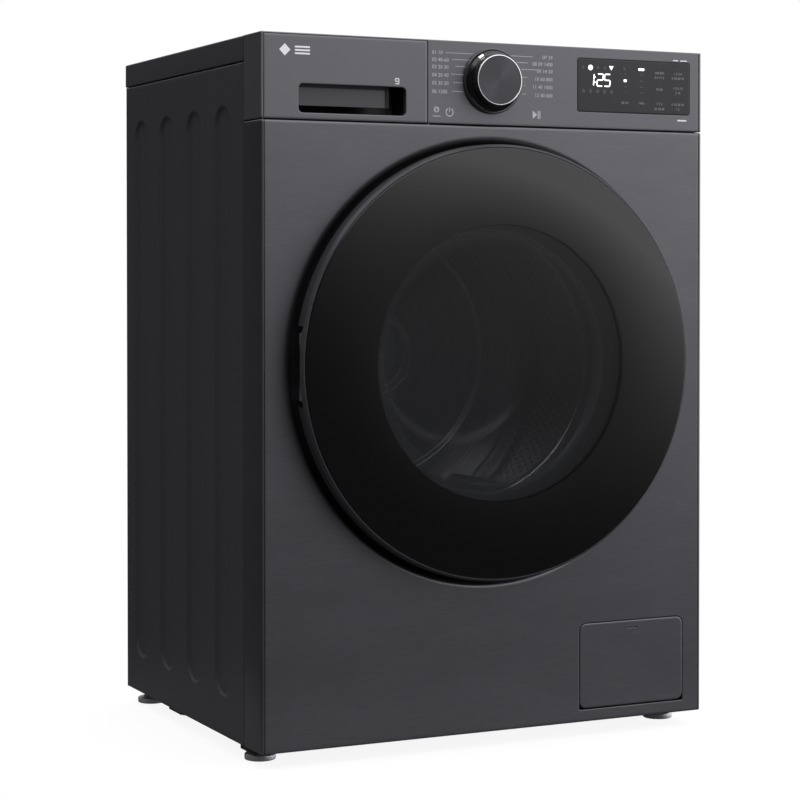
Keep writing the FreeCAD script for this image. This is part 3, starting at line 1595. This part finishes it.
def pump():
    """Drain pump with its filter, impeller, motor, hatch frame and hatch cover."""
    centre = ("pump_side", "pump_height")
    barrel = round_bar("pump_barrel", "Y", (deep("26"), deep("122")), centre, "filter_bore + 4")
    inlet = round_bar(
        "pump_inlet", "X", ("pump_side - 36", "pump_side - 10"), (deep("66"), "pump_height"), "18"
    )
    inlet_bore = round_bar(
        "pump_inlet_bore", "X", ("pump_side - 37", "pump_side - 10"), (deep("66"), "pump_height"), "14"
    )
    outlet = round_bar(
        "pump_outlet",
        "X",
        ("pump_side + 10", "pump_side + 44"),
        (deep("110"), "pump_height - 8"),
        "outlet_radius",
    )
    outlet_bore = round_bar(
        "pump_outlet_bore", "X", ("pump_side + 10", "pump_side + 45"), (deep("110"), "pump_height - 8"), "8"
    )
    chamber = round_bar("filter_chamber", "Y", (deep("25"), deep("98")), centre, "filter_bore")
    throat = round_bar("pump_throat", "Y", (deep("97"), deep("104")), centre, "12")
    volute = round_bar("volute", "Y", (deep("102"), deep("119")), centre, "23")
    shaft_hole = round_bar("pump_shaft_hole", "Y", (deep("115"), deep("123")), centre, "3.08")
    cradle = box(
        "pump_cradle", (
            "pump_side - 20", "pump_side + 20"
        ), (deep("70"), deep("94")), ("base_high", "pump_height - 20")
    )
    body = fuse("pump_solid", [barrel, inlet, outlet, cradle])
    keep(
        cut("pump_body", body, [chamber, throat, volute, shaft_hole, inlet_bore, outlet_bore]), "pump_housing"
    )

    motor = round_bar("pump_can", "Y", (deep("122.2"), deep("158")), centre, "24")
    core = box(
        "pump_core",
        ("pump_side - 30", "pump_side + 30"),
        (deep("130"), deep("148")),
        ("pump_height - 22", "pump_height + 34"),
    )
    motor_hole = round_bar("pump_motor_hole", "Y", (deep("121"), deep("150")), centre, "3.08")
    keep(cut("pump_drive", fuse("pump_drive_solid", [motor, core]), [motor_hole]), "pump_motor")

    disc = round_bar("impeller_disc", "Y", (deep("111"), deep("114")), centre, "20")
    stem = round_bar("impeller_stem", "Y", (deep("104.5"), deep("148")), centre, "3")
    blades = [
        box(
            "impeller_blade_flat",
            ("pump_side - 20", "pump_side + 20"),
            (deep("104.5"), deep("111")),
            ("pump_height - 1.5", "pump_height + 1.5"),
        ),
        box(
            "impeller_blade_tall",
            ("pump_side - 1.5", "pump_side + 1.5"),
            (deep("104.5"), deep("111")),
            ("pump_height - 20", "pump_height + 20"),
        ),
    ]
    keep(fuse("impeller", [disc, stem] + blades), "pump_impeller")

    cap = round_bar("filter_cap", "Y", (deep("18"), deep("32")), centre, "filter_bore - 0.5")
    collar = round_bar("filter_collar", "Y", (deep("18"), deep("25.6")), centre, "filter_bore + 5")
    grip = box(
        "filter_grip", ("pump_side - 24", "pump_side + 24"), (deep("8"), deep("19")), (
            "pump_height - 4", "pump_height + 4"
        )
    )
    basket = tube(
        "filter_basket", "Y", (deep("31"), deep("92")), centre, "filter_bore - 2", "filter_bore - 4.5"
    )
    slots = [
        box(
            f"filter_slot_{index}",
            ("pump_side - 40", "pump_side + 40"),
            (deep(f"38 + {index}*9"), deep(f"43 + {index}*9")),
            ("pump_height - 16", "pump_height + 16"),
        )
        for index in range(6)
    ]
    keep(cut("filter", fuse("filter_solid", [cap, collar, grip, basket]), slots), "pump_filter")

    liner = plate(
        "liner_blank",
        ("hatch_left - 8", "hatch_right + 8"),
        (deep("metal + 0.1"), deep("17.5")),
        ("hatch_low - 8", "hatch_high + 8"),
        "hatch_corner + 4",
    )
    liner_hollow = plate(
        "liner_hollow",
        ("hatch_left - 2.5", "hatch_right + 2.5"),
        (deep("0"), deep("15.5")),
        ("hatch_low - 4", "hatch_high + 2.5"),
        "hatch_corner",
    )
    cap_hole = round_bar("liner_cap_hole", "Y", (deep("10"), deep("20")), centre, "filter_bore + 7")
    sockets = [
        tube(f"hatch_socket_{index}", "X", (low, high), (deep("6"), "hatch_low + 5"), "3.5", "2.1")
        for index, (low, high) in enumerate(
            (("hatch_left + 3", "hatch_left + 9"), ("hatch_right - 9", "hatch_right - 3"))
        )
    ]
    stalks = [
        box(
            f"hatch_stalk_{index}",
            (low, high),
            (deep("8.5"), deep("16")),
            ("hatch_low + 2", "hatch_low + 8"),
        )
        for index, (low, high) in enumerate(
            (("hatch_left + 3", "hatch_left + 9"), ("hatch_right - 9", "hatch_right - 3"))
        )
    ]
    keep(
        fuse("liner", [cut("liner_open", liner, [liner_hollow, cap_hole])] + sockets + stalks), "filter_bezel"
    )

    face = plate(
        "hatch_face",
        ("hatch_left", "hatch_right"),
        (deep("0"), deep("2")),
        ("hatch_low", "hatch_high"),
        "hatch_corner",
    )
    nick = box(
        "hatch_nick", ("190", "208"), (deep("-1"), deep("0.8")), ("hatch_high - 9", "hatch_high - 7.6")
    )
    pins = [
        round_bar(f"hatch_pin_{index}", "X", (low, high), (deep("6"), "hatch_low + 5"), "2")
        for index, (low, high) in enumerate(
            (("hatch_left + 3", "hatch_left + 14"), ("hatch_right - 14", "hatch_right - 3"))
        )
    ]
    lugs = [
        box(
            f"hatch_lug_{index}",
            (low, high),
            (deep("1.8"), deep("8")),
            ("hatch_low + 2.5", "hatch_low + 7.5"),
        )
        for index, (low, high) in enumerate(
            (("hatch_left + 9.5", "hatch_left + 14"), ("hatch_right - 14", "hatch_right - 9.5"))
        )
    ]
    keep(cut("hatch", fuse("hatch_solid", [face] + pins + lugs), [nick]), "filter_cover")


def outlets():
    """Drain hose inside the cabinet with its rear spigot, and the gland for the mains cord."""
    hose = swept(
        "drain_hose_run",
        [
            ("pump_side + 44.3", deep("110"), "pump_height - 8"),
            ("262", deep("110"), "pump_height - 8"),
            ("262", deep("200"), "70"),
            ("262", deep("440"), "70"),
            ("outlet_side", deep("440"), "200"),
            ("outlet_side", deep("440"), "outlet_height"),
            ("outlet_side", deep("body_depth - 12"), "outlet_height"),
        ],
        number("hose_radius"),
        16,
        8,
    )
    place = ("outlet_side", "outlet_height")
    neck = tube(
        "outlet_neck",
        "Y",
        (deep("body_depth - 11"), deep("body_depth + 1")),
        place,
        "outlet_radius - 0.3",
        "8",
    )
    spigot = tube(
        "outlet_spigot", "Y", (deep("body_depth + 0.5"), deep("body_depth + 12")), place, "outlet_radius", "8"
    )
    collar = tube(
        "outlet_collar", "Y", (
            deep("body_depth - 5"), deep("body_depth - metal - 0.1")
        ), place, "17", "outlet_radius - 1"
    )
    keep(group("drain", [hose, fuse("outlet", [neck, spigot, collar])]), "drain_hose")

    keep(
        turned(
            "gland",
            [
                ("cord_radius", deep("body_depth - 8")),
                ("11", deep("body_depth - 8")),
                ("11", deep("body_depth - metal - 0.1")),
                ("8", deep("body_depth - metal - 0.1")),
                ("8", deep("body_depth + 0.1")),
                ("11.5", deep("body_depth + 0.1")),
                ("11.5", deep("body_depth + 3")),
                ("8", deep("body_depth + 10")),
                ("cord_radius", deep("body_depth + 10")),
            ],
            ("-cord_side", "cord_height"),
        ),
        "cord_gland",
    )


# ---------------------------------------------------------------- build and write


def check(item):
    """Stops the build if a finished piece isn't one or more sound solids."""
    shape = item.Shape
    if shape.isNull() or not shape.Solids or not shape.isValid():
        raise RuntimeError(f"{item.Label} has no sound shape")


def main():
    fill_sheet()
    for make in (
        side_panels,
        rear_panels,
        front_panel,
        worktop,
        control_panel,
        dial,
        detergent_drawer,
        dispenser,
        tub,
        tub_fittings,
        drum,
        soft_parts,
        suspension,
        door,
        base,
        pump,
        outlets,
    ):
        make()
    doc.recompute()
    failed = [item.Label for item in doc.Objects if {"Invalid", "Error"} & set(item.State)]
    if failed:
        raise RuntimeError(f"these objects failed: {failed}")
    os.makedirs("parts", exist_ok=True)
    for item in kept:
        check(item)
        item.Shape.exportStep(os.path.join("parts", item.Label + ".step"))
    print(f"{len(kept)} pieces written")


main()
